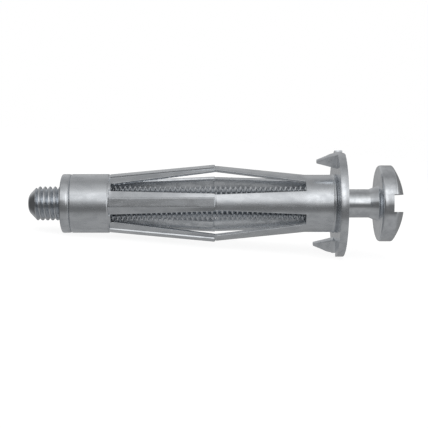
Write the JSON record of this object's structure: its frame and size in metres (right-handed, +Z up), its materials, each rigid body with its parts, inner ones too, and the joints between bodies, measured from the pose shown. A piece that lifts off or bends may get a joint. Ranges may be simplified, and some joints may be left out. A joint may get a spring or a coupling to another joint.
{
  "type": "metal drywall anchor",
  "caption": "Hollow-wall anchor: slotted steel sleeve with pre-bent folding legs, toothed flange, pressed-in threaded nut and a slotted domed-head machine screw.",
  "frame": {"origin": "on the anchor's axis, at the wall face of the toothed flange", "axes": "+X along the axis out of the wall, towards the screw head; +Z up as the anchor lies on its flange's notch"},
  "size_m": [0.0658, 0.0188, 0.0186],
  "materials": {
    "plated_screw": "bright zinc plated, fine turned marks",
    "plated_sheet": "bright zinc plated, fine lengthwise drawing marks",
    "plated_nut": "bright zinc plated, turned",
    "plated_flange": "bright zinc plated, stamped"
  },
  "bodies": {
    "sleeve_body": {"sleeve": "plated_sheet", "threaded_nut": "plated_nut", "toothed_flange": "plated_flange"},
    "screw_body": {"screw": "plated_screw"}
  },
  "joints": [
    {"name": "screw_advance", "type": "slide", "parent": "sleeve_body", "child": "screw_body", "axis": [1, 0, 0], "range_m": [-0.00615, 0.013]}
  ]
}
